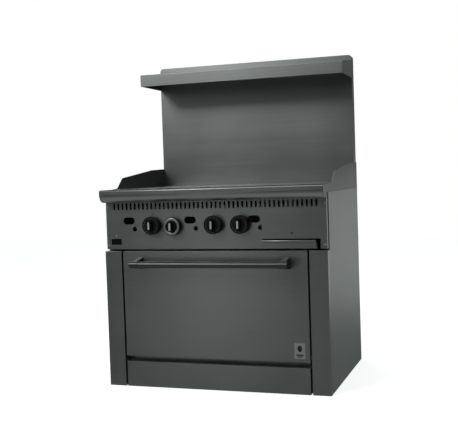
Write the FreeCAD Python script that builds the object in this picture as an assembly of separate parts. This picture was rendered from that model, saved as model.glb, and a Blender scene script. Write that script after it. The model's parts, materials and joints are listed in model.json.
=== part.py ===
import FreeCAD, Part
import math
import os

# Commercial griddle-top gas range with a standard oven, a high riser and a shelf.
# Millimetres, +Z up, the front faces -Y, +X is the cook's right.
# Pieces are drawn with y counted back from the face of the control panel. save() then moves
# them so that the origin is the bottom centre of the whole appliance.

# Cabinet
width = 914.0              # over the side panels, the 36 in class
depth = 636.0              # control panel face to cabinet back
overall_height = 1344.0
skin = 1.5                 # outer stainless sheet
side_front = 24.0          # front edge of the side panels
side_rise = 21.0           # side panel's top above the control panel
hem_thickness = 2.2
hem_height = 12.0
edge_flange = 12.0
foot_notch = (9.0, 14.0)   # relief at the bottom front corner, along Y and Z
pipe_hole_gap = 3.0        # rear panel's hole to the inlet pipe

# Front, below the control panel
face_proud = 13.0          # stiles, door and kick plate stand in front of the panel
stile_width = 71.0
stile_top = 546.0
stile_side_gap = 0.5       # stile's outer return to the side panel
kick_top = 102.0
kick_gap = 8.0             # kick plate to stile, each side
flange = 20.0

# Control panel
panel_gap = 7.0            # stile's top to the panel's lower edge
panel_height = 189.0
panel_inset = 3.0          # from the cabinet's side
control_rise = 95.0        # knob centres above the panel's lower edge
burner_margin = 61.0       # panel's edge to the first burner zone
knob_offset = 13.3         # left griddle knob from its burner's centre line
dial_pitch = 88.1          # left knob to the thermostat's knob
dial_drop = 5.0            # thermostat's knob below the others
middle_knob_x = 10.8
right_knob_pitch = 107.7   # middle knob to right knob
stem_hole_r = 7.0
slot_margin = 32.0
slot_pitch = 18.1
slot_size = (8.0, 27.0)
slot_drop = 31.0           # slots' lower ends below the panel's top
port_size = (49.0, 28.0)   # obround lighting port
port_rise = 19.0           # above the knob centres
port_offset = -91.0        # from the burner's centre line
pilot_screw_offset = -66.5
pilot_screw_drop = 14.0
pilot_hole_r = 9.5
screw_inset = (8.0, 14.0)  # from the panel's edges
screw_top_inset = 18.0
screw_r = 2.5
screw_head_r = 5.0
screw_head = 2.2
screw_length = 14.0
spare_hole = (136.0, 59.0, 4.0)    # from the panel's right and lower edges, and radius

# Rocker switch
switch_inset = (42.5, 30.0)        # centre from the panel's left and lower edges
switch_size = (45.0, 24.0)
switch_front = 0.2
switch_depth = 28.0
switch_wall = 2.0
switch_screw_rise = 22.0
rocker_gap = 0.5
rocker_tilt = 7.0          # each way from level, degrees
rocker_rise = 1.5          # rocker's ends behind the panel's face
rocker_pivot_depth = 9.0
rocker_pivot_r = 1.5

# Front rail, trough and griddle
rail_height = 49.0
rail_reach = 55.0
rail_back = 3.0
rail_radii = (5.0, 32.0)   # top and bottom front corners
trough_back = 89.0
trough_depth = 43.0
chute_from_left = 104.0    # from the drawer's left edge
chute_r = 20.0
chute_wall = 1.2
chute_gap = 4.0            # chute's lower end above the drawer
griddle_proud = 3.0        # plate's top above the rail
griddle_thickness = 19.0
plate_lap = 3.0            # plate over the trough's back edge
plate_clearance = 0.5
griddle_gap = 10.0         # plate to riser
support_height = 20.0
support_wall = 3.0
support_gap = 2.0
side_slack = 0.4           # griddle plate to side splash

# Side splashes: heights above the rail's top
splash_thickness = 2.5
splash_inset = 5.0         # inner face, from the cabinet's side
splash_back_rise = 85.0
splash_knee = (181.0, 80.0)        # ahead of the riser's back, and height
splash_shoulder = (162.0, 48.5, 22.0)
splash_toe = (110.0, 6.0, 26.0)
splash_front = (60.0, 2.0)
splash_lift = 1.0          # above the control panel's top

# Riser and shelf
riser_depth = 42.0
riser_overhang = 16.0      # riser's back behind the cabinet's back
riser_corner = 15.0
riser_strap = 60.0
riser_strap_inset = 12.0
louvre_count = 14
louvre_size = (40.0, 9.0)
louvre_drop = 60.0
louvre_margin = 40.0
shelf_depth = 225.0
shelf_drop = 101.0         # shelf lip's lower edge below the riser's top
shelf_lip = 48.0
shelf_end_drop = 18.0
shelf_end_back = 12.0      # ahead of the riser's back
shelf_hem = 12.0

# Oven
mouth_margin = 49.0        # door's side edge to the oven's mouth
mouth_low = 36.0           # door's lower edge to the oven's floor
mouth_top = 41.0           # oven's ceiling to the door's upper edge
oven_rear_space = 76.5     # liner's back to the cabinet's back
frame_overlap = 14.0       # front frame behind the kick plate
frame_side_gap = 1.0       # frame to stile
liner_wall = 1.2
insulation = 28.0
insulation_top = 37.0
insulation_gap = 0.5
floor_margin = (120.0, 70.0)       # round the opening in the liner's floor
deck_thickness = 2.5
deck_margin = 8.0
deck_rise = 6.0
rack_wire = 3.0            # radius of the frame wire
rack_bar = 2.0             # radius of the cross bars
rack_bite = 0.8            # how far the cross bars are pressed into the frame
rack_bars = 19
rack_slots = (1, 4)        # the guide levels that hold a rack, from the bottom
rack_inset = 36.0
rack_side_gap = 2.5
guide_first = 55.0         # lowest guide above the oven's floor
guide_count = 6
guide_headroom = 90.0      # highest guide below the oven's ceiling
guide_inset = 30.0
guide_margin = 20.0
guide_reach = 16.0
flue_size = (300.0, 26.0)
flue_drop = 40.0           # flue's middle below the oven's ceiling
flue_duct_gap = 4.0        # duct behind the riser's front sheet
shield_gap = 3.0

# Door
door_gap = 7.0             # door to stile
door_rise = 22.0           # door's lower edge above the kick plate
door_thickness = 45.0
pivot_depth = 23.0         # hinge pin, behind the door's face
pivot_rise = 14.0          # hinge pin, above the door's lower edge
pin_r = 4.0
pin_reach = (2.0, 6.0)     # pin's ends past the arm and past the stile's return
running_clearance = 0.06
arm_inset = 7.5            # arm's middle from the door's side edge
arm_thickness = 4.0
arm_slot_half = 4.5
arm_pocket_half = 3.5
arm_clearance = 2.0        # arm's knee behind the door's back
arm_web = 10.0
spring_r = 6.5
spring_wire = 2.0
spring_coils = 14
spring_eye = 7.0
spring_anchor_z = 20.0
spring_behind = 22.0       # spring's line behind the oven front frame
hook_hole_r = 3.5
hook_slack = 0.3
hook_tab = (8.0, 1.5)      # half sizes along Y and X
handle_drop = 47.0         # handle centre below the door's upper edge
handle_reach = 67.0        # handle centre in front of the door's face
handle_r = 12.5
handle_inset = 60.0        # handle's end from the door's side edge
spigot_r = 9.0             # the tube's turned-down end, inside its collar
spigot_inset = 5.0
handle_wall = 2.0
collar_length = 35.0
collar_r = 14.0
post_width = 20.0
post_heights = (24.0, 46.0)
badge_size = (42.0, 60.0)
badge_inset = (18.0, 13.0) # from the door's right and lower edges
badge_corner = 3.0
badge_thickness = 1.5
pad_gap = 4.0              # insulation pad to the door's sheets, up and down
pad_arm_gap = 6.0
pad_clearance = 0.5
gasket_width = 6.5
gasket_margin = 1.0        # oven mouth to the seal
gasket_clearance = 0.4
gasket_thickness = 5.6

# Knobs
knob_r = 36.0
knob_front = 27.0          # dial face in front of the panel
dial_front = 24.5          # the thermostat's dial face, behind its ring
knob_clearance = 4.0
knob_edge_r = 2.0
knob_skirt = 6.0           # side wall's thickness
knob_wall = 7.0            # solid part behind the dial face
grip_reach = 20.0          # grip's front beyond the dial face
grip_size = (19.0, 42.0)
grip_tip = (12.0, 36.0)
grip_corner = 5.0
knob_hub_r = 12.0
stem_r = 4.0
stem_front = 21.0
stem_step = 4.0
knob_socket_r = 3.2
ring_r = (24.0, 34.0)
ring_thickness = 2.5

# Grease drawer: heights above the panel's lower edge
drawer_inset = 42.0        # right edge from the panel's right edge
drawer_width = 209.0
drawer_cutout = (16.5, 38.0)       # past the drawer's right edge, and height
drawer_lip = (26.0, 32.5)
drawer_depth = 330.0
drawer_floor_rise = 3.0
drawer_lip_reach = 8.0
drawer_lip_r = 3.0
drawer_slack = 1.0
drawer_pan_inset = 4.0
drawer_face_gap = 0.5
guide_wall_inset = 2.0
guide_ledge = 16.0
guide_running_gap = 0.8

# Gas parts
manifold_r = 13.35
manifold_front = 24.65     # its front, behind the panel's face
manifold_base = 56.35      # its underside, below the knob centres
manifold_inset = 61.0      # left end from the cabinet's side
manifold_tail = 16.5       # past the last pilot valve
manifold_plug = 4.0
manifold_wall = 2.9
inlet_r = 12.55            # plain cylinder at the pitch diameter of the 3/4 in pipe thread
inlet_thread = 26.0
inlet_gap = 4.0            # manifold end to the inlet pipe's elbow
inlet_stub = 30.0          # free length behind the riser
valve_r = 12.0
valve_front = 16.0
valve_back = 60.0
valve_plug = 14.0          # solid end of a valve behind its stem
bonnet_length = 6.0
bonnet_step = 3.0
nipple_r = 7.0
thermostat_case = (24.0, 20.0)     # half width and half height
capillary_r = 1.2
capillary_hole_r = 3.0
bulb_r = 4.8
bulb_length = 110.0
bulb_back = 200.0          # bulb's start behind the front frame
burner_drop = 40.0         # burner tubes below the griddle plate
burner_r = 16.0
burner_wall = 1.6
burner_spread = 66.0
burner_front = 98.0
burner_cross_y = 140.0
burner_end_gap = 40.0      # burner legs to the griddle's back edge
cross_bar_gap = 60.0
tube_r = 4.75
tube_rise_y = 76.0         # where the tubes climb to the burners
tube_rise = 52.0
tube_mouth_gap = 2.0
oven_burner_drop = 60.0    # below the oven's floor
oven_burner_r = 19.0
oven_burner_gaps = (50.5, 51.5)    # from the liner's front and back
hanger_width = 25.0
hanger_wall = 3.0
gas_down_inset = 19.0
gas_down_y = 95.0
pilot_r = 5.0
pilot_tube_r = 2.4
pilot_valve = (24.0, 50.0, 6.0)    # front, back and radius
pilot_nipple_r = 4.0
safety_x = (-150.0, -96.0)
safety_reach = ((33.0, 8.0), (22.0, 26.0))     # round the gas line, along Y and Z

# Base
angle_leg = 40.0
angle_wall = 3.0
base_gap = 1.0             # base frame to the sheets round it
base_back_of_frame = 4.0
leg_plate = 110.0
leg_plate_thickness = 5.0
leg_bolt_spacing = 66.7    # 2-5/8 in
leg_bolt_r = 4.35
leg_bolt_inset = 5.0       # pattern's centre from the leg plate's centre

half = width / 2
panel_low = stile_top + panel_gap
panel_high = panel_low + panel_height
panel_half = half - panel_inset
side_top = panel_high + side_rise
splash_inner = half - splash_inset
rail_top = panel_high + rail_height
trough_floor = rail_top - trough_depth
griddle_top = rail_top + griddle_proud
griddle_low = griddle_top - griddle_thickness
griddle_front = trough_back - plate_lap
splash_low = panel_high + splash_lift
riser_back_y = depth + riser_overhang
riser_front_y = riser_back_y - riser_depth
griddle_back = riser_front_y - griddle_gap
shelf_front = riser_front_y - shelf_depth
shelf_low = overall_height - shelf_drop
shelf_top = shelf_low + shelf_lip

control_z = panel_low + control_rise
port_pitch = (2 * panel_half - 2 * burner_margin) / 3
burner_lines = (-port_pitch, 0.0, port_pitch)
right_knob_x = middle_knob_x + right_knob_pitch
griddle_knobs = (burner_lines[0] + knob_offset, middle_knob_x, right_knob_x)
dial_place = (griddle_knobs[0] + dial_pitch, control_z - dial_drop)
knob_places = [(x, control_z) for x in griddle_knobs] + [dial_place]
slot_low = panel_high - slot_drop
slot_count = int((2 * panel_half - 2 * slot_margin) / slot_pitch) + 1
port_z = control_z + port_rise
pilot_screw_z = control_z - pilot_screw_drop
switch_x = -panel_half + switch_inset[0]
switch_z = panel_low + switch_inset[1]

drawer_right = panel_half - drawer_inset
drawer_left = drawer_right - drawer_width
drawer_floor = panel_low + drawer_floor_rise
drawer_lip_z = (panel_low + drawer_lip[0], panel_low + drawer_lip[1])
chute_x = drawer_left + chute_from_left
chute_y = (rail_back + trough_back) / 2

door_half = half - stile_width - door_gap
door_low = kick_top + door_rise
door_back = -face_proud + door_thickness
frame_y = door_back + gasket_clearance + gasket_thickness
pivot_y = -face_proud + pivot_depth
pivot_z = door_low + pivot_rise
spring_y = frame_y + spring_behind
arm_tail = spring_y - pivot_y
arm_knee = door_back - pivot_y + arm_clearance
arm_x = door_half - arm_inset
handle_half = door_half - handle_inset
handle_y = -face_proud - handle_reach
handle_z = stile_top - handle_drop

oven_half = door_half - mouth_margin
oven_floor_z = door_low + mouth_low
oven_top = stile_top - mouth_top
oven_front_y = frame_y + skin
oven_back_y = depth - oven_rear_space
flue_z = oven_top - flue_drop
shield_z = oven_top + liner_wall + insulation_top + shield_gap
guide_pitch = (oven_top - oven_floor_z - guide_first - guide_headroom) / (guide_count - 1)
guide_levels = [oven_floor_z + guide_first + index * guide_pitch for index in range(guide_count)]

manifold_y = manifold_front + manifold_r
manifold_z = control_z - manifold_base + manifold_r
manifold_ends = (-half + manifold_inset, burner_lines[2] + pilot_screw_offset + manifold_tail)
inlet_x = manifold_ends[0] - manifold_r - inlet_gap
burner_z = griddle_low - burner_drop
burner_end_y = griddle_back - burner_end_gap
oven_burner_z = oven_floor_z - oven_burner_drop
gas_down_x = -half + gas_down_inset

front_reach = -handle_y + collar_r
rear_reach = riser_back_y + inlet_stub
origin_shift = FreeCAD.Vector(0, (front_reach - rear_reach) / 2, 0)


def block(x, y, z):
    """A box from its (low, high) pairs."""
    return Part.makeBox(x[1] - x[0], y[1] - y[0], z[1] - z[0], FreeCAD.Vector(x[0], y[0], z[0]))


def rod(start, end, radius):
    """A round bar between two points."""
    low, high = FreeCAD.Vector(*start), FreeCAD.Vector(*end)
    return Part.makeCylinder(radius, (high - low).Length, low, high - low)


def pipe_run(points, radius):
    """Round bars from point to point, with a ball at each turn."""
    bars = [rod(a, b, radius) for a, b in zip(points, points[1:])]
    balls = [Part.makeSphere(radius, FreeCAD.Vector(*p)) for p in points[1:-1]]
    return bars[0].multiFuse(bars[1:] + balls).removeSplitter() if bars[1:] else bars[0]


def pipe(points, radius, wall):
    """A hollow run, open at both ends."""
    return pipe_run(points, radius).cut(pipe_run(points, radius - wall))


def outline(corners, place):
    """A closed wire. Corners are (a, b) or (a, b, radius); place turns (a, b) into a point."""
    edges = []
    ends = []
    count = len(corners)
    for index, corner in enumerate(corners):
        here = FreeCAD.Vector(corner[0], corner[1], 0)
        before = FreeCAD.Vector(*corners[index - 1][:2], 0) - here
        after = FreeCAD.Vector(*corners[(index + 1) % count][:2], 0) - here
        if len(corner) < 3 or corner[2] == 0:
            ends.append((here, None, here))
            continue
        before.normalize()
        after.normalize()
        half_angle = before.getAngle(after) / 2
        reach = corner[2] / math.tan(half_angle)
        bisector = (before + after).normalize()
        middle = here + bisector * (corner[2] / math.sin(half_angle) - corner[2])
        ends.append((here + before * reach, middle, here + after * reach))
    for index, (start, middle, end) in enumerate(ends):
        if middle is not None:
            edges.append(Part.Arc(*[place(p.x, p.y) for p in (start, middle, end)]).toShape())
        following = ends[(index + 1) % count][0]
        if (following - end).Length > 1e-6:
            edges.append(Part.LineSegment(place(end.x, end.y), place(following.x, following.y)).toShape())
    return Part.Wire(edges)


def plate_x(corners, x):
    """An outline in (y, z), as thick as the (low, high) pair x."""
    wire = outline(corners, lambda a, b: FreeCAD.Vector(x[0], a, b))
    return Part.Face(wire).extrude(FreeCAD.Vector(x[1] - x[0], 0, 0))


def plate_y(corners, y):
    """An outline in (x, z), as thick as the (low, high) pair y."""
    wire = outline(corners, lambda a, b: FreeCAD.Vector(a, y[0], b))
    return Part.Face(wire).extrude(FreeCAD.Vector(0, y[1] - y[0], 0))


def turned(corners, x, z):
    """A (radius, y) outline turned about the Y direction through (x, z)."""
    wire = outline(corners, lambda a, b: FreeCAD.Vector(x + a, b, z))
    return Part.Face(wire).revolve(FreeCAD.Vector(x, 0, z), FreeCAD.Vector(0, 1, 0), 360)


def mirrored(shape):
    return shape.mirror(FreeCAD.Vector(0, 0, 0), FreeCAD.Vector(1, 0, 0))


def both_sides(shape):
    return [shape, mirrored(shape)]


def save(node, *solids):
    """Writes one node, as one solid or as a group of separate solids."""
    moved = []
    for shape in solids:
        for solid in shape.Solids:
            copy = solid.copy()
            copy.translate(origin_shift)
            moved.append(copy)
    whole = moved[0] if len(moved) == 1 else Part.makeCompound(moved)
    whole.exportStep("parts/%s.step" % node)


def side_panel():
    sheet = block((half - skin, half), (side_front, depth), (0, side_top))
    hem = block((half - hem_thickness, half), (side_front, depth), (side_top - hem_height, side_top))
    front = block((half - edge_flange, half), (side_front, side_front + skin),
                  (0, panel_high - hem_thickness))
    notch = block((half - edge_flange, half), (side_front, side_front + foot_notch[0]), (0, foot_notch[1]))
    return sheet.fuse([hem, front]).cut(notch).removeSplitter()


def stile():
    inner = half - stile_width
    face_y = -face_proud
    face = block((inner, half), (face_y, face_y + skin), (0, stile_top))
    outer = block((half - skin, half), (face_y, side_front - stile_side_gap), (0, stile_top))
    back = block((inner, inner + skin), (face_y, frame_y), (0, stile_top))
    top = block((inner, half), (face_y, side_front - stile_side_gap), (stile_top - skin, stile_top))
    pin_hole = rod((inner - 5, pivot_y, pivot_z), (inner + 5, pivot_y, pivot_z), pin_r)
    return face.fuse([outer, back, top]).cut(pin_hole).removeSplitter()


def kick_plate():
    edge = half - stile_width - kick_gap
    outer = block((-edge, edge), (-face_proud, -face_proud + flange), (0, kick_top))
    hollow = block((-edge + skin, edge - skin), (-face_proud + skin, flange), (skin, kick_top - skin))
    return outer.cut(hollow)


def rear_panel():
    sheet = block((-half + skin, half - skin), (depth - skin, depth), (0, panel_high - base_gap))
    hole = rod((inlet_x, 0, manifold_z), (inlet_x, rear_reach, manifold_z), manifold_r + pipe_hole_gap)
    return sheet.cut(hole)


def base_frame():
    inside = half - skin - base_gap
    front, back = frame_y + base_back_of_frame, depth - skin - base_gap
    pieces = []
    for low, high in ((front, front + angle_wall), (back - angle_wall, back)):
        pieces.append(block((-inside, inside), (low, high), (0, angle_leg)))
    for x in both_ends(inside - angle_wall, inside):
        pieces.append(block(x, (front, back), (0, angle_leg)))
    for low in (front, back - angle_leg):
        pieces.append(block((-inside, inside), (low, low + angle_leg), (0, angle_wall)))
    for x in both_ends(inside - angle_leg, inside):
        pieces.append(block(x, (front, back), (0, angle_wall)))
    for x in both_ends(inside - leg_plate, inside):
        for low in (front, back - leg_plate):
            pieces.append(block(x, (low, low + leg_plate), (0, leg_plate_thickness)))
    for x in both_ends(arm_x - hook_tab[1], arm_x + hook_tab[1]):
        tab = (spring_y - hook_tab[0], spring_y + hook_tab[0])
        pieces.append(block(x, tab, (0, spring_anchor_z + 2 * hook_hole_r)))
    frame = pieces[0].multiFuse(pieces[1:]).removeSplitter()
    holes = [rod((x, y, -1), (x, y, 10), leg_bolt_r) for x, y in leg_bolts(inside, front, back)]
    hook = rod((-half, spring_y, spring_anchor_z), (half, spring_y, spring_anchor_z), hook_hole_r)
    return frame.cut(holes + [hook])


def both_ends(low, high):
    """The (low, high) pair on the right, and its mirror image on the left."""
    return (low, high), (-high, -low)


def leg_bolts(inside, front, back):
    reach = leg_bolt_spacing / 2
    middle = leg_plate / 2 + leg_bolt_inset
    places = []
    for x in (inside - middle, -inside + middle):
        for y in (front + middle, back - middle):
            places += [(x + dx, y + dy) for dx in (-reach, reach) for dy in (-reach, reach)]
    return places


def control_panel():
    outer = block((-panel_half, panel_half), (0, flange), (panel_low, panel_high))
    hollow = block((-panel_half + skin, panel_half - skin), (skin, flange + 1),
                   (panel_low + skin, panel_high - skin))
    through = (-1, skin + 1)
    cuts = []
    first_slot = -(slot_count - 1) / 2 * slot_pitch
    for index in range(slot_count):
        middle = first_slot + index * slot_pitch
        cuts.append(obround(middle, slot_low + slot_size[1] / 2, slot_size, through))
    for x, z in knob_places:
        cuts.append(rod((x, -1, z), (x, skin + 1, z), stem_hole_r))
    for line in burner_lines:
        cuts.append(obround(line + port_offset, port_z, port_size, through))
        x = line + pilot_screw_offset
        cuts.append(rod((x, -1, pilot_screw_z), (x, skin + 1, pilot_screw_z), pilot_hole_r))
    for x, z in screw_places():
        cuts.append(rod((x, -1, z), (x, skin + 1, z), screw_r))
    x, z = panel_half - spare_hole[0], panel_low + spare_hole[1]
    cuts.append(rod((x, -1, z), (x, skin + 1, z), spare_hole[2]))
    cuts.append(switch_cutout(through))
    cuts.append(block((drawer_left - drawer_slack, drawer_right + drawer_cutout[0]), (-1, flange + 1),
                      (panel_low - 1, panel_low + drawer_cutout[1])))
    return outer.cut([hollow] + cuts)


def obround(x, z, size, y):
    """A slot with round ends, size is (across X, along Z)."""
    dx, dz = size[0] / 2, size[1] / 2
    r = min(dx, dz) - 0.01
    corners = ((x - dx, z - dz, r), (x + dx, z - dz, r), (x + dx, z + dz, r), (x - dx, z + dz, r))
    return plate_y(corners, y)


def switch_cutout(y):
    dx, dz = switch_size[0] / 2, switch_size[1] / 2
    return block((switch_x - dx, switch_x + dx), y, (switch_z - dz, switch_z + dz))


def screw_places():
    x = panel_half - screw_inset[0]
    levels = (panel_low + screw_inset[1], panel_high - screw_top_inset)
    corners = [(side * x, level) for side in (-1, 1) for level in levels]
    return corners + [(switch_x, switch_z + switch_screw_rise)]


def front_rail():
    corners = ((-rail_reach, panel_high, rail_radii[1]), (rail_back, panel_high), (rail_back, rail_top),
               (-rail_reach, rail_top, rail_radii[0]))
    inner = ((-rail_reach + skin, panel_high + skin, rail_radii[1] - skin),
             (rail_back + 1, panel_high + skin),
             (rail_back + 1, rail_top - skin), (-rail_reach + skin, rail_top - skin, rail_radii[0] - skin))
    ends = (-splash_inner, splash_inner)
    return plate_x(corners, ends).cut(plate_x(inner, ends))


def grease_trough():
    x = (-splash_inner, splash_inner)
    outer = block(x, (rail_back, trough_back), (trough_floor - skin, rail_top))
    hollow = block(x, (rail_back + skin, trough_back - skin), (trough_floor, rail_top + 1))
    under_plate = block(x, (griddle_front - 1, trough_back + 1),
                        (griddle_low - plate_clearance, rail_top + 1))
    hole = rod((chute_x, chute_y, trough_floor - 5), (chute_x, chute_y, trough_floor + 5),
               chute_r - chute_wall)
    return outer.cut([hollow, under_plate, hole])


def grease_chute():
    low = (chute_x, chute_y, drawer_lip_z[1] + chute_gap)
    high = (chute_x, chute_y, trough_floor - skin)
    return rod(low, high, chute_r).cut(rod(low, high, chute_r - chute_wall))


def griddle_plate():
    x = splash_inner - side_slack
    return block((-x, x), (griddle_front, griddle_back), (griddle_low, griddle_top))


def griddle_supports():
    """Two bars under the plate's edges, and two under the burners."""
    bars = []
    x = splash_inner - base_gap
    for low in (trough_back + support_gap, griddle_back - griddle_gap - support_gap):
        bars.append(block((-x, x), (low, low + support_wall), (griddle_low - support_height, griddle_low)))
    x = half - 2 * skin
    for low in (burner_cross_y + cross_bar_gap, burner_end_y - cross_bar_gap):
        bars.append(block((-x, x), (low, low + support_wall),
                          (burner_z - burner_r - support_height, burner_z - burner_r)))
    return bars


def splash():
    """Its upper edge falls from the riser, over a knee and a shoulder, to the rail."""
    shoulder = (splash_shoulder[0], rail_top + splash_shoulder[1], splash_shoulder[2])
    toe = (splash_toe[0], rail_top + splash_toe[1], splash_toe[2])
    corners = ((-rail_reach, splash_low, rail_radii[1]), (riser_back_y, splash_low),
               (riser_back_y, rail_top + splash_back_rise, 6.0),
               (riser_back_y - splash_knee[0], rail_top + splash_knee[1]), shoulder, toe,
               (splash_front[0], rail_top + splash_front[1]), (-rail_reach, rail_top + splash_front[1], 8.0))
    return plate_x(corners, (splash_inner, splash_inner + splash_thickness))


def riser_outline(inset, z_low):
    x = splash_inner - inset
    top = overall_height - inset
    r = riser_corner - inset
    return ((-x, z_low), (x, z_low), (x, top, r), (-x, top, r))


def riser_front():
    return plate_y(riser_outline(0, griddle_low), (riser_front_y, riser_front_y + skin))


def riser_back():
    pan = plate_y(riser_outline(0, side_top), (riser_front_y + skin, riser_back_y))
    hollow = plate_y(riser_outline(skin, side_top - 1), (riser_front_y, riser_back_y - skin))
    x = splash_inner
    ledge = block((-x, x), (depth, riser_back_y), (side_top, side_top + skin))
    strap = block((-x + riser_strap_inset, x - riser_strap_inset), (depth, depth + skin),
                  (side_top - riser_strap, side_top + skin))
    pitch = 2 * (x - louvre_margin) / louvre_count
    louvres = []
    for index in range(louvre_count):
        middle = -x + louvre_margin + pitch * (index + 0.5)
        louvres.append(obround(middle, overall_height - louvre_drop, louvre_size,
                               (riser_back_y - 5, riser_back_y + 1)))
    return pan.cut([hollow] + louvres).fuse([ledge, strap]).removeSplitter()


def shelf():
    x = (-splash_inner, splash_inner)
    deck = block(x, (shelf_front, riser_front_y), (shelf_top - skin, shelf_top))
    lip = block(x, (shelf_front, shelf_front + skin), (shelf_low, shelf_top))
    hem = block(x, (shelf_front, shelf_front + shelf_hem), (shelf_low, shelf_low + skin))
    return deck.fuse([lip, hem]).removeSplitter()


def shelf_end():
    back = riser_back_y - shelf_end_back
    corners = ((shelf_front, shelf_low), (back, shelf_low), (back, overall_height - shelf_end_drop, 6.0),
               (shelf_front, shelf_top + 2, 3.0))
    return plate_x(corners, (splash_inner, splash_inner + skin))


def flue_duct():
    x = flue_size[0] / 2
    y = (riser_front_y + flue_duct_gap, depth - skin - base_gap)
    liner_back = oven_back_y
    z = (flue_z - flue_size[1] / 2, flue_z + flue_size[1] / 2)
    upright = block((-x, x), y, (z[0] - 6, side_top - 3))
    stub = block((-x, x), (liner_back, y[0] + skin), z)
    inner_up = block((-x + skin, x - skin), (y[0] + skin, y[1] - skin), (z[0] - 6 + skin, side_top))
    inner_stub = block((-x + skin, x - skin), (liner_back - 1, y[0] + skin + 1), (z[0] + skin, z[1] - skin))
    return upright.fuse(stub).cut([inner_up, inner_stub]).removeSplitter()


def capillary_points():
    """The thermostat's capillary tube, from its body to the bulb inside the oven."""
    x = -oven_half + guide_reach + 2
    bulb_y = frame_y + bulb_back
    start, z = dial_place[0], dial_place[1] + 6
    return ((start, valve_back, z), (start, 110, z),
            (x, bulb_y - 20, control_z - 40), (x, bulb_y, control_z - 40), (x, bulb_y, oven_top - 20))


def capillary_hole(low, high):
    x, y, _ = capillary_points()[-1]
    return rod((x, y, low), (x, y, high), capillary_hole_r)


def heat_shield():
    x = half - skin - 2 * base_gap
    sheet = block((-x, x), (frame_y + 8, griddle_back), (shield_z, shield_z + skin))
    for edge in both_ends(x - skin, x):
        sheet = sheet.fuse(block(edge, (frame_y + 8, griddle_back), (shield_z - 12, shield_z + skin)))
    down = rod((gas_down_x, gas_down_y, shield_z - 5), (gas_down_x, gas_down_y, shield_z + 5), tube_r + 2)
    return sheet.removeSplitter().cut([capillary_hole(shield_z - 5, shield_z + 5), down])


def oven_liner():
    x = oven_half
    y = (oven_front_y, oven_back_y)
    outer = block((-x - liner_wall, x + liner_wall), (y[0], y[1]),
                  (oven_floor_z - liner_wall, oven_top + liner_wall))
    hollow = block((-x, x), (y[0] - 1, y[1] - liner_wall), (oven_floor_z, oven_top))
    floor = block((-x + floor_margin[0], x - floor_margin[0]),
                  (y[0] + floor_margin[1], y[1] - floor_margin[1]), (oven_floor_z - 5, oven_floor_z + 1))
    flue = block((-flue_size[0] / 2 + skin, flue_size[0] / 2 - skin), (y[1] - 5, y[1] + 1),
                 (flue_z - flue_size[1] / 2 + skin, flue_z + flue_size[1] / 2 - skin))
    return outer.cut([hollow, floor, flue, capillary_hole(oven_top - 1, oven_top + 5)])


def oven_insulation():
    """Slabs on the top, the two sides and the back of the liner."""
    x = oven_half + liner_wall
    y = (oven_front_y, oven_back_y)
    side_z = (oven_floor_z, oven_top)
    gap = insulation_gap
    side = block((x + gap, x + gap + insulation), y, side_z)
    top_low = oven_top + liner_wall + gap
    top = block((-x - insulation, x + insulation), (y[0], y[1] + insulation),
                (top_low, top_low + insulation_top))
    top = top.cut(capillary_hole(top_low - 1, top_low + insulation_top + 1))
    back = block((-x, x), (y[1] + gap, y[1] + insulation), side_z)
    stub = block((-flue_size[0] / 2 - 1, flue_size[0] / 2 + 1), (y[1], y[1] + insulation + 1),
                 (flue_z - flue_size[1] / 2 - 1, flue_z + flue_size[1] / 2 + 1))
    return both_sides(side) + [top, back.cut(stub)]


def oven_front_frame():
    x = half - stile_width - frame_side_gap
    sheet = block((-x, x), (frame_y, frame_y + skin), (kick_top - frame_overlap, stile_top))
    mouth = block((-oven_half, oven_half), (frame_y - 1, frame_y + skin + 1), (oven_floor_z, oven_top))
    slots = [block(edge, (frame_y - 1, frame_y + skin + 1), (pivot_z - arm_tail + 14, pivot_z + arm_tail + 8))
             for edge in both_ends(arm_x - arm_slot_half, arm_x + arm_slot_half)]
    return sheet.cut([mouth] + slots)


def oven_deck():
    x = oven_half - deck_margin
    y = (oven_front_y + deck_margin, oven_back_y - liner_wall - deck_margin)
    top = oven_floor_z + deck_rise + deck_thickness
    deck = block((-x, x), y, (top - deck_thickness, top))
    for edge in ((y[0], y[0] + deck_thickness), (y[1] - deck_thickness, y[1])):
        deck = deck.fuse(block((-x, x), edge, (oven_floor_z, top)))
    return deck.removeSplitter()


def rack_guide():
    x = oven_half
    y = (frame_y + guide_inset, oven_back_y - skin - guide_inset)
    guide = block((x - skin, x), y, (guide_levels[0] - guide_margin, guide_levels[-1] + guide_margin))
    ledges = [block((x - guide_reach, x), y, (level - skin, level)) for level in guide_levels]
    return guide.fuse(ledges).removeSplitter()


def rack(level):
    """A wire rack that lies on the guides at this level."""
    x = oven_half - rack_wire - skin - rack_side_gap
    y = (frame_y + rack_inset, oven_back_y - skin - rack_inset)
    z = level + rack_wire
    wires = [rod((side * x, y[0], z), (side * x, y[1], z), rack_wire) for side in (-1, 1)]
    wires += [rod((-x, end, z), (x, end, z), rack_wire) for end in y]
    wires += [Part.makeSphere(rack_wire, FreeCAD.Vector(side * x, end, z)) for side in (-1, 1) for end in y]
    lift = z + rack_wire + rack_bar - rack_bite
    for index in range(rack_bars):
        across = -x + (index + 0.5) * 2 * x / rack_bars
        wires.append(rod((across, y[0] - 1, lift), (across, y[1] + 1, lift), rack_bar))
    wires.append(rod((-x, (y[0] + y[1]) / 2, z), (x, (y[0] + y[1]) / 2, z), rack_wire))
    return wires[0].multiFuse(wires[1:])


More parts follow.
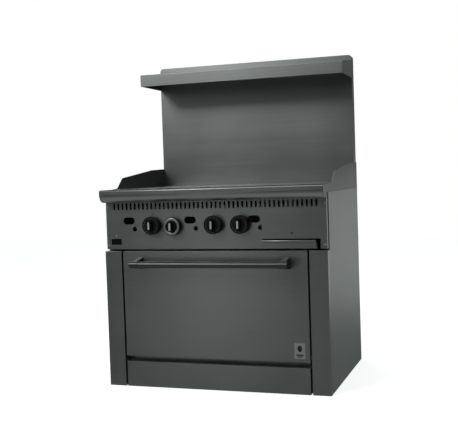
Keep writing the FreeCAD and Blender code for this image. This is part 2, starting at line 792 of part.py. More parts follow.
def oven_burner():
    start, end = oven_front_y + oven_burner_gaps[0], oven_back_y - oven_burner_gaps[1]
    tube = rod((0, start, oven_burner_z), (0, end, oven_burner_z), oven_burner_r)
    bore = rod((0, start - 1, oven_burner_z), (0, end - burner_wall, oven_burner_z),
               oven_burner_r - burner_wall)
    x, z = hanger_width, (oven_burner_z, oven_floor_z - liner_wall)
    hangers = [block((-x, x), (y, y + hanger_wall), z)
               for y in (start + 6, end - 6)]
    return tube.fuse(hangers).cut(bore).removeSplitter()


def gas_manifold():
    low, high = ((x, manifold_y, manifold_z) for x in manifold_ends)
    inner = (manifold_ends[1] - manifold_plug, manifold_y, manifold_z)
    return rod(low, high, manifold_r).cut(rod(low, inner, manifold_r - manifold_wall))


def gas_inlet_pipe():
    """From the manifold's end, round an elbow and out of the cabinet's back to a threaded end."""
    shoulder = (inlet_x, rear_reach - inlet_thread, manifold_z)
    end = (inlet_x, rear_reach, manifold_z)
    bore = manifold_r - manifold_wall
    path = ((manifold_ends[0], manifold_y, manifold_z), (inlet_x, manifold_y, manifold_z), shoulder)
    body = pipe_run(path, manifold_r).fuse(rod(shoulder, end, inlet_r))
    return body.cut([pipe_run(path[:2] + (end,), bore)]).removeSplitter()


def on_manifold(place, body, others):
    """A gas control's body with its bonnet and nipple, open for the stem and seated on the manifold."""
    x, z = place
    bonnet = rod((x, valve_front - bonnet_length, z), (x, valve_front, z), valve_r - bonnet_step)
    nipple = rod((x, manifold_y, manifold_z), (x, manifold_y, z), nipple_r)
    reach = 2 * manifold_r
    pipe_body = rod((x - reach, manifold_y, manifold_z), (x + reach, manifold_y, manifold_z), manifold_r)
    bore = rod((x, 0, z), (x, valve_back - valve_plug, z), stem_r + running_clearance)
    return body.fuse([bonnet, nipple] + others).cut([pipe_body, bore])


def valve(x):
    body = rod((x, valve_front, control_z), (x, valve_back, control_z), valve_r)
    return on_manifold((x, control_z), body, []).removeSplitter()


def thermostat_body():
    """The oven thermostat with its capillary tube and bulb, one sealed unit."""
    dx, dz = thermostat_case
    across, level = dial_place
    case = block((across - dx, across + dx), (valve_front, valve_back), (level - dz, level + dz))
    points = capillary_points()
    x, y, z = points[-1]
    bulb = rod((x, y, z), (x, y + bulb_length, z), bulb_r)
    return on_manifold(dial_place, case, [pipe_run(points, capillary_r), bulb])


def supply_tubes():
    """Tubes from the griddle valves to their burners, and from the thermostat to the oven burner."""
    tubes = []
    for x, line in zip(griddle_knobs, burner_lines):
        points = ((x, valve_back, control_z), (x, tube_rise_y, control_z),
                  (x, tube_rise_y, control_z + tube_rise),
                  (line, tube_rise_y, burner_z), (line, burner_front - tube_mouth_gap, burner_z))
        tubes.append(pipe_run(points, tube_r))
    x = dial_place[0] + 12
    y, z = gas_down_y, dial_place[1] - 8
    left, right = safety_block()[0]
    points = ((x, valve_back, z), (x, y, z), (gas_down_x, y, z), (gas_down_x, y, oven_burner_z),
              (left, y, oven_burner_z))
    tubes.append(pipe_run(points, tube_r))
    mouth = oven_front_y + oven_burner_gaps[0] - tube_mouth_gap
    tubes.append(pipe_run(((right, mouth - 12, oven_burner_z), (0, mouth - 12, oven_burner_z),
                           (0, mouth, oven_burner_z)), tube_r))
    return tubes


def safety_block():
    (front, back), (down, up) = safety_reach
    return safety_x, (gas_down_y - front, gas_down_y + back), (oven_burner_z - down, oven_burner_z + up)


def safety_valve():
    x, y, z = safety_block()
    middle = (x[0] + x[1]) / 2
    head = rod((middle, y[0] - 8, z[1] - 12), (middle, y[0], z[1] - 12), 8.0)
    stand = block((x[0] + 10, x[1] - 10), (y[0] + 8, y[0] + 11), (angle_wall, z[0]))
    return block(x, y, z).fuse([head, stand]).removeSplitter()


def griddle_burner(line):
    """A U burner: a mixer tube, a cross tube and two legs, in one hollow piece."""
    def tubes(radius, start, end):
        runs = [((line, start, burner_z), (line, burner_cross_y, burner_z)),
                ((line - burner_spread, burner_cross_y, burner_z),
                 (line + burner_spread, burner_cross_y, burner_z))]
        for side in (-1, 1):
            x = line + side * burner_spread
            runs.append(((x, burner_cross_y, burner_z), (x, end, burner_z)))
        bars = [rod(low, high, radius) for low, high in runs]
        corners = [Part.makeSphere(radius,
                                   FreeCAD.Vector(line + side * burner_spread, burner_cross_y, burner_z))
                   for side in (-1, 1)]
        return bars[0].multiFuse(bars[1:] + corners)
    outside = tubes(burner_r, burner_front, burner_end_y)
    inside = tubes(burner_r - burner_wall, burner_front - 1, burner_end_y - burner_wall)
    return outside.cut(inside)


def pilots():
    """Three griddle pilots with their adjusting valves, and the oven pilot."""
    pieces = []
    for line in burner_lines:
        x = line + pilot_screw_offset
        head_x = line + port_offset
        front, back, radius = pilot_valve
        body = rod((x, front, pilot_screw_z), (x, back, pilot_screw_z), radius)
        nipple = rod((x, manifold_y, manifold_z), (x, manifold_y, pilot_screw_z), pilot_nipple_r)
        tube = pipe_run(((x, back, pilot_screw_z), (x, 66, pilot_screw_z + 6), (head_x, 104, burner_z - 45),
                         (head_x, 112, burner_z - 15)), pilot_tube_r)
        head = rod((head_x, 112, burner_z - 15), (head_x, 112, burner_z + 2), pilot_r)
        pipe_body = rod((x - manifold_r, manifold_y, manifold_z), (x + manifold_r, manifold_y, manifold_z),
                        manifold_r)
        pieces.append(body.fuse([nipple, tube, head]).cut(pipe_body))
    x, y = 2 * oven_burner_r, oven_front_y + oven_burner_gaps[0] + 10
    hanger = block((x - 6, x + 6), (y, y + 3), (oven_burner_z - 6, oven_floor_z - liner_wall))
    pieces.append(hanger.fuse(rod((x, y + 3, oven_burner_z), (x, y + 25, oven_burner_z), pilot_r)))
    return pieces


def hinge_pin():
    inner = half - stile_width
    start = arm_x - arm_thickness / 2 - pin_reach[0]
    return rod((start, pivot_y, pivot_z), (inner + pin_reach[1], pivot_y, pivot_z), pin_r)


def door_spring():
    """A close-wound tension spring between the base frame's tab and the hinge arm's tail."""
    x, y = arm_x, spring_y
    seat = hook_hole_r - spring_wire / 2 - hook_slack
    eyes_z = (spring_anchor_z + seat + spring_eye, pivot_z - arm_tail - seat - spring_eye)
    bottom, top = eyes_z[0] + spring_eye, eyes_z[1] - spring_eye
    pitch = (top - bottom) / spring_coils
    groove = spring_wire / 2
    corners = [(0, bottom), (spring_r, bottom)]
    for index in range(spring_coils):
        level = bottom + pitch * index
        corners += [(spring_r + groove, level + pitch / 2)]
        if index < spring_coils - 1:
            corners += [(spring_r, level + pitch)]
    corners += [(spring_r, top), (0, top)]
    wire = outline(corners, lambda a, b: FreeCAD.Vector(x + a, y, b))
    coil = Part.Face(wire).revolve(FreeCAD.Vector(x, y, 0), FreeCAD.Vector(0, 0, 1), 360)
    for z in eyes_z:
        coil = coil.fuse(Part.makeTorus(spring_eye, spring_wire / 2, FreeCAD.Vector(x, y, z),
                                        FreeCAD.Vector(0, 1, 0)))
    return coil


def door_gasket():
    x, low, high = oven_half + gasket_margin, oven_floor_z - gasket_margin, oven_top + gasket_margin
    face = door_back + gasket_clearance
    w = gasket_width
    outer = plate_y(((-x - w, low - w, 2 * w), (x + w, low - w, 2 * w), (x + w, high + w, 2 * w),
                     (-x - w, high + w, 2 * w)), (face, frame_y))
    inner = plate_y(((-x, low, w), (x, low, w), (x, high, w), (-x, high, w)), (face - 1, frame_y + 1))
    return outer.cut(inner)


def switch_housing():
    dx, dz = switch_size[0] / 2, switch_size[1] / 2
    x = (switch_x - dx, switch_x + dx)
    z = (switch_z - dz, switch_z + dz)
    case = block(x, (switch_front, switch_depth), z)
    well = block((x[0] + switch_wall, x[1] - switch_wall), (0, rocker_pivot_depth + 8),
                 (z[0] + switch_wall, z[1] - switch_wall))
    pin = rod((switch_x, rocker_pivot_depth, z[0] + 1), (switch_x, rocker_pivot_depth, z[1] - 1),
              rocker_pivot_r)
    return case.cut(well).fuse(pin)


def rocker():
    """The switch's rocker, level as drawn and then turned to its rest position."""
    dx = switch_size[0] / 2 - switch_wall - rocker_gap
    dz = switch_size[1] / 2 - switch_wall - rocker_gap
    lean = math.tan(math.radians(rocker_tilt))
    low = rocker_rise
    wire = outline(((switch_x - dx + 1, low), (switch_x, low + dx * lean), (switch_x + dx - 1, low),
                    (switch_x + dx - 2, low + 6), (switch_x + 3, rocker_pivot_depth + 3),
                    (switch_x - 3, rocker_pivot_depth + 3), (switch_x - dx + 2, low + 6)),
                   lambda a, b: FreeCAD.Vector(a, b, switch_z - dz))
    body = Part.Face(wire).extrude(FreeCAD.Vector(0, 0, 2 * dz))
    hole = rod((switch_x, rocker_pivot_depth, 0), (switch_x, rocker_pivot_depth, overall_height),
               rocker_pivot_r + running_clearance)
    body = body.cut(hole)
    body.rotate(FreeCAD.Vector(switch_x, rocker_pivot_depth, 0), FreeCAD.Vector(0, 0, 1), rocker_tilt)
    return body


def drawer_guide():
    """An angle: its wall stands beside the drawer's pan, its ledge carries it."""
    x = drawer_left + guide_wall_inset
    y = (flange + 2, drawer_depth + flange)
    top = drawer_floor - guide_running_gap
    wall = block((x - skin, x), y, (shield_z + skin, drawer_floor + 14))
    ledge = block((x, x + guide_ledge), y, (top - skin, top))
    return wall.fuse(ledge).removeSplitter()


def drawer_guides():
    left = drawer_guide()
    middle = (drawer_left + drawer_right) / 2
    right = left.mirror(FreeCAD.Vector(middle, 0, 0), FreeCAD.Vector(1, 0, 0))
    return [left, right]


def screw(x, z):
    head = turned(((0, -screw_head), (screw_head_r - 2, -screw_head, 1.5), (screw_head_r, 0), (0, 0)), x, z)
    return head.fuse(rod((x, 0, z), (x, screw_length, z), screw_r))


def door_outer():
    x = door_half
    y = (-face_proud, door_back)
    outer = block((-x, x), y, (door_low, stile_top))
    hollow = block((-x + skin, x - skin), (y[0] + skin, y[1] + 1), (door_low + skin, stile_top - skin))
    pins = rod((-half, pivot_y, pivot_z), (half, pivot_y, pivot_z), pin_r + running_clearance)
    return outer.cut([hollow, pins])


def door_inner():
    x = door_half - skin
    y = door_back
    sheet = block((-x, x), (y - skin, y), (door_low + skin, stile_top - skin))
    slots = [block(edge, (y - 5, y + 1), (pivot_z - 12, pivot_z + 12))
             for edge in both_ends(arm_x - arm_pocket_half, arm_x + arm_pocket_half)]
    return sheet.cut(slots)


def door_insulation():
    x = arm_x - arm_thickness / 2 - pad_arm_gap
    y = (-face_proud + skin + pad_clearance, door_back - skin - pad_clearance)
    return block((-x, x), y, (door_low + skin + pad_gap, stile_top - skin - pad_gap))


def door_handle():
    collar_start = handle_half - collar_length
    bar = rod((-collar_start, handle_y, handle_z), (collar_start, handle_y, handle_z), handle_r)
    return bar.fuse(spigot(spigot_r)).cut(spigot(spigot_r - handle_wall)).removeSplitter()


def spigot(radius):
    end = handle_half - spigot_inset
    return rod((-end, handle_y, handle_z), (end, handle_y, handle_z), radius)


def handle_post():
    """One end fitting: a collar over the handle's end, on a post that widens towards the door."""
    start = handle_half - collar_length
    middle = handle_half - collar_length / 2
    collar = rod((start, handle_y, handle_z), (handle_half, handle_y, handle_z), collar_r)
    near, far = (height / 2 for height in post_heights)
    corners = ((handle_y, handle_z - near), (-face_proud, handle_z - far), (-face_proud, handle_z + far),
               (handle_y, handle_z + near))
    post = plate_x(corners, (middle - post_width / 2, middle + post_width / 2))
    return collar.fuse(post).cut(spigot(spigot_r)).removeSplitter()


def badge_plate():
    right, low = door_half - badge_inset[0], door_low + badge_inset[1]
    left, high = right - badge_size[0], low + badge_size[1]
    r = badge_corner
    corners = ((left, low, r), (right, low, r), (right, high, r), (left, high, r))
    return plate_y(corners, (-face_proud - badge_thickness, -face_proud))


def hinge_arm():
    """A bent plate: its leg is fixed inside the door, its tail reaches back to the spring."""
    tail = arm_tail
    shape = ((-12, -9), (arm_knee, -9), (tail - 8, -tail - 3), (tail, -tail - 9, 4.0), (tail + 9, -tail, 4.0),
             (arm_knee + arm_web, 8), (15, 9), (15, 60), (-6, 60), (-12, 54))
    corners = [(pivot_y + c[0], pivot_z + c[1]) + tuple(c[2:]) for c in shape]
    x = (arm_x - arm_thickness / 2, arm_x + arm_thickness / 2)
    plate = plate_x(corners, x)
    pin = rod((half, pivot_y, pivot_z), (0, pivot_y, pivot_z), pin_r + running_clearance)
    hook_z = pivot_z - tail
    eye = rod((half, spring_y, hook_z), (0, spring_y, hook_z), hook_hole_r)
    return plate.cut([pin, eye])


def knob(place, front_reach):
    """A round dial with a narrow grip standing across its face, hollow behind, with a socket for its stem."""
    x, z = place
    front, back = -front_reach, -knob_clearance
    corners = ((0, front), (knob_r, front, knob_edge_r), (knob_r, back), (knob_r - knob_skirt, back),
               (knob_r - knob_skirt, front + knob_wall), (knob_hub_r, front + knob_wall),
               (knob_hub_r, back), (0, back))
    dial = turned(corners, x, z)
    base = grip_outline(x, z, grip_size, front + 1)
    tip = grip_outline(x, z, grip_tip, front - grip_reach)
    body = dial.fuse(Part.makeLoft([base, tip], True, True))
    return body.cut(rod((x, -stem_front, z), (x, 0, z), knob_socket_r)).removeSplitter()


def grip_outline(x, z, size, y):
    dx, dz = size[0] / 2, size[1] / 2
    r = grip_corner
    corners = ((x - dx, z - dz, r), (x + dx, z - dz, r), (x + dx, z + dz, r), (x - dx, z + dz, r))
    return outline(corners, lambda a, b: FreeCAD.Vector(a, y, b))


def thermostat_ring():
    x, z = dial_place
    front = -dial_front - ring_thickness
    corners = ((ring_r[0], front), (ring_r[1], front, 1.0), (ring_r[1], front + ring_thickness),
               (ring_r[0], front + ring_thickness))
    return turned(corners, x, z)


def stem(place):
    """A valve stem: a thin end in the knob, and a journal in the valve body."""
    x, z = place
    thin = rod((x, -stem_front, z), (x, stem_step, z), knob_socket_r)
    journal = rod((x, stem_step, z), (x, valve_back - valve_plug - 2, z), stem_r)
    return thin.fuse(journal).removeSplitter()


def grease_drawer():
    left, right = drawer_left, drawer_right
    inset = drawer_pan_inset
    face = block((left, right), (0, skin), (panel_low + drawer_face_gap, drawer_lip_z[1]))
    r = drawer_lip_r
    lip = plate_x(((-drawer_lip_reach, drawer_lip_z[0], r), (skin, drawer_lip_z[0]), (skin, drawer_lip_z[1]),
                   (-drawer_lip_reach, drawer_lip_z[1], r)), (left, right))
    pan = block((left + inset, right - inset), (skin, drawer_depth), (drawer_floor, drawer_lip_z[0] + 2))
    hollow = block((left + inset + skin, right - inset - skin), (2 * skin, drawer_depth - skin),
                   (drawer_floor + skin, drawer_lip_z[0] + 20))
    return pan.cut(hollow).fuse([face, lip]).removeSplitter()


def main():
    os.makedirs("parts", exist_ok=True)
    save("base_frame", base_frame())
    for name, shape in (("side_panel", side_panel()), ("stile", stile()), ("side_splash", splash())):
        save(name + "_right", shape)
        save(name + "_left", mirrored(shape))
    save("rear_panel", rear_panel())
    save("kick_plate", kick_plate())
    save("control_panel", control_panel())
    save("panel_screws", *[screw(x, z) for x, z in screw_places()])
    save("front_rail", front_rail())
    save("grease_trough", grease_trough())
    save("grease_chute", grease_chute())
    save("griddle_plate", griddle_plate())
    save("griddle_supports", *griddle_supports())
    save("riser_front", riser_front())
    save("riser_back", riser_back())
    save("shelf", shelf())
    save("shelf_ends", *both_sides(shelf_end()))
    save("flue_duct", flue_duct())
    save("heat_shield", heat_shield())
    save("oven_liner", oven_liner())
    save("oven_insulation", *oven_insulation())
    save("oven_front_frame", oven_front_frame())
    save("oven_deck", oven_deck())
    save("rack_guides", *both_sides(rack_guide()))
    save("oven_racks", *[rack(guide_levels[slot]) for slot in rack_slots])
    save("oven_burner", oven_burner())
    save("gas_manifold", gas_manifold())
    save("gas_inlet_pipe", gas_inlet_pipe())
    save("griddle_valves", *[valve(x) for x in griddle_knobs])
    save("thermostat", thermostat_body())
    save("safety_valve", safety_valve())
    save("supply_tubes", *supply_tubes())
    save("griddle_burners", *[griddle_burner(line) for line in burner_lines])
    save("pilots", *pilots())
    save("hinge_pins", *both_sides(hinge_pin()))
    save("door_springs", *both_sides(door_spring()))
    save("door_gasket", door_gasket())
    save("switch_housing", switch_housing())
    save("switch_rocker", rocker())
    save("drawer_guides", *drawer_guides())
    save("grease_drawer", grease_drawer())
    save("door_outer", door_outer())
    save("door_inner", door_inner())
    save("door_insulation", door_insulation())
    save("door_handle", door_handle())
    save("handle_posts", *both_sides(handle_post()))
    save("badge_plate", badge_plate())
    save("hinge_arms", *both_sides(hinge_arm()))
    save("thermostat_ring", thermostat_ring())
    for name, place in zip(("left", "middle", "right", "oven"), knob_places):
        save("knob_" + name, knob(place, dial_front if place == dial_place else knob_front))
        save("stem_" + name, stem(place))


main()
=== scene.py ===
import json
import math

import bmesh
import bpy
from mathutils import Matrix, Vector


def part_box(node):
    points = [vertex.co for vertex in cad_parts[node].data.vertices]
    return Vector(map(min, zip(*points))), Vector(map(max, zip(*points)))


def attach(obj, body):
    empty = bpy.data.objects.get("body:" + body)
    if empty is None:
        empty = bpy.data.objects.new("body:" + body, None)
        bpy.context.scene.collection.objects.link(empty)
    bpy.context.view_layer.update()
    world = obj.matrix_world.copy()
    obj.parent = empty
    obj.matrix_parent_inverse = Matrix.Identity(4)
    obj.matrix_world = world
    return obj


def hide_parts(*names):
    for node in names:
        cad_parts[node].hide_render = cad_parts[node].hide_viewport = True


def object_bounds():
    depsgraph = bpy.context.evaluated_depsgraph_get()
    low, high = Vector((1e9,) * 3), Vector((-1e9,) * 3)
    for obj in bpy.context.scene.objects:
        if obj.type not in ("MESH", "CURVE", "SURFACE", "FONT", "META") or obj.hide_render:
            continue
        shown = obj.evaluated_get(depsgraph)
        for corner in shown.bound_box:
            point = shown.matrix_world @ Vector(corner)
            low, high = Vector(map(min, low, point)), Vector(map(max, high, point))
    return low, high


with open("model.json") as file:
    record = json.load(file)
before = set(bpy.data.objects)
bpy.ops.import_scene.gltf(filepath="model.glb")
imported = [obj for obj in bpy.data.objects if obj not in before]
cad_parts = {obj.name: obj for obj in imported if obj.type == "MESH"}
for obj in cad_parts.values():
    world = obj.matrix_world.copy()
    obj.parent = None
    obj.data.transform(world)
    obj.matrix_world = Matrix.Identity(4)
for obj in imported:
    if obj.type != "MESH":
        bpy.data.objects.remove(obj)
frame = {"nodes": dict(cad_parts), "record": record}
nodes = frame["nodes"]
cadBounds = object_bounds()
scene = bpy.context.scene
print("frame loaded:", len(nodes), "nodes")

view = {
    "place": (1.11735, -3.38318, 0.84171),
    "yaw": -18.697,            # degrees, to the left of straight at the front
    "pitch": -2.564,
    "roll": -1.921,
    "lens": 66.55,             # mm
    "sensor": 36,              # mm
}

studio = {
    # glow of the room, as (height, level): height is 0 straight below and 1 overhead
    "glow": ((0.12, 0.36), (0.36, 0.10), (0.52, 0.02), (0.72, 0.34)),
    "backGlow": ((0.5, 0), (0.95, 1)),
    "backLight": 0.060,        # how much the back glow adds
    "backWay": (0.75, 0.62, 0.2),
    "tone": (0.94, 1.0, 0.99),
    "floorSize": 14.0,
    "floorGlow": 0.70,         # keeps the pale floor near white
    "floorTone": (0.86, 0.86, 0.86),
    # painted shade: the near-black colour of the patch under the cabinet
    "shadeTone": (0.01, 0.01, 0.01),
    "shadeInset": 0.03,
    "shadeLift": 0.0002,
}

# name: place, what it faces, width and height in m, watts
lamps = {
    "keyBox": ((-1.6, -3.0, 3.0), (0, -0.1, 0.7), (1.2, 1.2), 43),
    "frontBox": ((-1.9, -3.7, 1.9), (0, -0.3, 0.6), (1.2, 1.4), 1),
    "lowStrip": ((-1.12, -3.5, -0.05), (0, -0.3, 0.3), (0.22, 1.0), 1.4),
    "topBox": ((0.2, 0.1, 3.3), (0, 0, 0.8), (2.2, 2.2), 12),
    "sideStrip": ((1.7, 3.4, 0.3), (0.45, 0, 0.4), (0.9, 1.2), 3),
    "rearBox": ((-0.9, 3.6, 2.2), (0, 0.3, 0.7), (1.6, 1.6), 12),
}


class Wire:
    # one output socket; arithmetic on it adds Math nodes
    def __init__(self, graph, socket):
        self.graph = graph
        self.socket = socket

    def join(self, operation, first, second):
        return self.graph.node("ShaderNodeMath", {"operation": operation}, {0: first, 1: second})

    def __add__(self, other):
        return self.join("ADD", self, other)

    def __radd__(self, other):
        return self.join("ADD", other, self)

    def __sub__(self, other):
        return self.join("SUBTRACT", self, other)

    def __rsub__(self, other):
        return self.join("SUBTRACT", other, self)

    def __mul__(self, other):
        return self.join("MULTIPLY", self, other)

    def swing(self, spread):
        # a noise is 0.5 on average; this swings about 0
        return (self - 0.5) * spread


class Graph:
    # short calls that add nodes to one node tree
    def __init__(self, tree):
        self.tree = tree

    def put(self, socket, value):
        if isinstance(value, Wire):
            self.tree.links.new(value.socket, socket)
        elif socket.type == "RGBA":
            socket.default_value = (*value, 1.0)
        else:
            socket.default_value = value

    def node(self, kind, settings=None, sockets=None, output=0):
        made = self.tree.nodes.new(kind)
        for name, value in (settings or {}).items():
            if name == "stops":
                ramp = made.color_ramp
                for _ in value[2:]:
                    ramp.elements.new(0.5)
                for element, (place, level) in zip(ramp.elements, value):
                    element.position = place
                    element.color = (level, level, level, 1)
            else:
                setattr(made, name, value)
        for key, value in (sockets or {}).items():
            self.put(made.inputs[key], value)
        return Wire(self, made.outputs[output])

    def place(self, stretch=(1, 1, 1), turn=(0, 0, 0)):
        where = self.node("ShaderNodeTexCoord", output="Object")
        return self.node("ShaderNodeMapping", {}, {"Vector": where, "Scale": stretch, "Rotation": turn})

    def noise(self, scale, stretch=(1, 1, 1), detail=4.0, rough=0.55):
        sockets = {"Vector": self.place(stretch), "Scale": scale, "Detail": detail, "Roughness": rough}
        return self.node("ShaderNodeTexNoise", {"noise_dimensions": "3D"}, sockets)

    def cells(self, scale, output="Distance"):
        sockets = {"Vector": self.place(), "Scale": scale}
        return self.node("ShaderNodeTexVoronoi", {"feature": "F1"}, sockets, output)

    def ramp(self, value, *stops):
        return self.node("ShaderNodeValToRGB", {"stops": stops}, {"Fac": value})

    def blend(self, amount, first, second, mode="MIX"):
        sockets = {"Factor": amount, 6: first, 7: second}
        return self.node("ShaderNodeMix", {"data_type": "RGBA", "blend_type": mode}, sockets, 2)

    def bump(self, height, look):
        sockets = {"Height": height, "Distance": look["depth"], "Strength": look["strength"]}
        return self.node("ShaderNodeBump", {}, sockets)


class Finish(Graph):
    # a material, built around one Principled shader
    def __init__(self, name, **fixed):
        self.material = bpy.data.materials.new(name)
        self.material.use_nodes = True
        super().__init__(self.material.node_tree)
        self.shader = self.tree.nodes["Principled BSDF"]
        self.set(**fixed)

    def set(self, **values):
        # keys are socket names in camelCase, such as baseColor
        for key, value in values.items():
            words = "".join(" " + letter if letter.isupper() else letter for letter in key)
            self.put(self.shader.inputs[words.title().replace("Ior", "IOR")], value)


def shades(tone, low, high):
    return tuple(part * low for part in tone), tuple(part * high for part in tone)


brushing = {
    "streakStretch": 0.16,     # streaks repeat this much less often than the fine lines
    "fineShare": 0.55,
    "streakShare": 0.45,
    "lines": ((0.30, 0), (0.70, 1)),
    "lineRough": 0.07,
    "smears": ((0.35, 0), (0.65, 1)),
    "smearShade": (0.93, 1.0),
    "smearRough": 0.12,
    "depth": 0.00002,
    "strength": 0.35,
}


def brushedSteel(name, look):
    steel = Finish(name, metallic=1.0)
    fine = steel.noise(1.0, look["grain"], 3.0, 0.6)
    streaks = steel.noise(1.0, [part * brushing["streakStretch"] for part in look["grain"]], 2.0, 0.5)
    smear = steel.noise(look["smearScale"], detail=3.0, rough=0.5)
    dark, light = shades(look["tone"], 1 - look["contrast"], 1 + look["contrast"])
    lines = steel.ramp(fine * brushing["fineShare"] + streaks * brushing["streakShare"], *brushing["lines"])
    dull, clean = shades((1, 1, 1), *brushing["smearShade"])
    wiped = steel.blend(steel.ramp(smear, *brushing["smears"]), dull, clean)
    steel.set(baseColor=steel.blend(1.0, steel.blend(lines, dark, light), wiped, "MULTIPLY"))
    rough = look["roughness"] + lines.swing(brushing["lineRough"]) + smear.swing(brushing["smearRough"])
    steel.set(roughness=rough)
    steel.set(normal=steel.bump(fine, brushing))
    return steel


def galvanised(name, look):
    sheet = Finish(name, metallic=1.0)
    spangle = sheet.cells(look["spangleScale"], output="Color")
    flake = sheet.node("ShaderNodeSeparateColor", {}, {"Color": spangle})
    smear = sheet.noise(look["smearScale"])
    dark, light = shades(look["tone"], *look["shade"])
    sheet.set(baseColor=sheet.blend(flake * look["flakeShare"] + smear * look["smearShare"], dark, light))
    sheet.set(roughness=look["roughness"] + flake * look["flakeRough"] + smear.swing(look["smearRough"]))
    sheet.set(normal=sheet.bump(flake, look))
    return sheet


def ovenEnamel(name, look):
    enamel = Finish(name, ior=look["ior"])
    isSpeck = 1 - enamel.ramp(enamel.cells(look["speckScale"]), *look["speckEdge"])
    ripple = enamel.noise(look["rippleScale"], detail=2.0)
    base = enamel.blend(enamel.noise(look["cloudScale"]), *look["tones"])
    enamel.set(baseColor=enamel.blend(isSpeck, base, look["speck"]))
    enamel.set(roughness=look["roughness"] + ripple * look["rippleRough"], normal=enamel.bump(ripple, look))
    return enamel


plating = {
    "hazeScale": 60.0,
    "shade": (0.88, 1.05),
    "hazeRough": 0.12,
    "grainScale": 900.0,
    "depth": 0.00002,
    "strength": 0.3,
}


def platedSteel(name, look):
    plated = Finish(name, metallic=1.0)
    haze = plated.noise(plating["hazeScale"])
    dark, light = shades(look["tone"], *plating["shade"])
    plated.set(baseColor=plated.blend(haze, dark, light))
    plated.set(roughness=look["roughness"] + haze.swing(plating["hazeRough"]))
    plated.set(normal=plated.bump(plated.noise(plating["grainScale"], detail=2.0), plating))
    return plated


def patchyMetal(name, look):
    # patches of two tones over a fine skin that only bumps the surface
    metal = Finish(name, metallic=look["metallic"])
    patches = metal.noise(**look["patches"])
    skin = metal.noise(**look["skin"])
    metal.set(baseColor=metal.blend(patches, *look["tones"]))
    metal.set(roughness=look["roughness"] + patches * look["patchRough"], normal=metal.bump(skin, look))
    return metal


def castMetal(name, look):
    cast = Finish(name, metallic=1.0)
    skin = cast.noise(look["skinScale"])
    cast.set(baseColor=cast.blend(cast.noise(look["patchScale"]), *look["tones"]))
    cast.set(roughness=look["roughness"] + skin.swing(look["skinRough"]), normal=cast.bump(skin, look))
    return cast


def mineralWool(name, look):
    wool = Finish(name, roughness=1.0)
    tufts = wool.noise(**look["tufts"])
    strands = wool.noise(**look["strands"])
    wool.set(baseColor=wool.blend(wool.ramp(tufts, *look["tuftEdge"]), *look["tones"]))
    wool.set(normal=wool.bump(tufts * look["tuftShare"] + strands * look["strandShare"], look))
    return wool


def wovenSeal(name, look):
    seal = Finish(name, roughness=look["roughness"])
    braid = []
    for lean in (look["lean"], -look["lean"]):
        wave = {"Vector": seal.place(turn=(0, lean, 0)), "Scale": look["braidScale"], "Distortion": 0.6,
                "Detail": 2.0}
        braid.append(seal.node("ShaderNodeTexWave", {"wave_profile": "SIN"}, wave, "Fac"))
    weave = braid[0] * braid[1]
    fuzz = seal.noise(look["fuzzScale"])
    seal.set(baseColor=seal.blend(weave * 0.7 + fuzz * 0.3, *look["tones"]))
    seal.set(normal=seal.bump(weave * 0.8 + fuzz * 0.2, look))
    return seal


def mouldedPlastic(name, look):
    plastic = Finish(name, ior=1.45, specularIorLevel=0.25)
    grain = plastic.noise(1400.0, detail=2.0)
    wipe = plastic.noise(40.0)
    dark, light = shades(look["tone"], 0.8, 1.25)
    plastic.set(baseColor=plastic.blend(wipe, dark, light), roughness=look["roughness"] + wipe.swing(0.14))
    plastic.set(normal=plastic.bump(grain, {"depth": 0.00006, "strength": 0.5}))
    return plastic


def paintedMark(name, look):
    mark = Finish(name, roughness=0.55)
    worn = mark.noise(300.0, detail=3.0)
    dark, light = shades(look["tone"], 0.82, 1.0)
    mark.set(baseColor=mark.blend(worn, dark, light))
    return mark


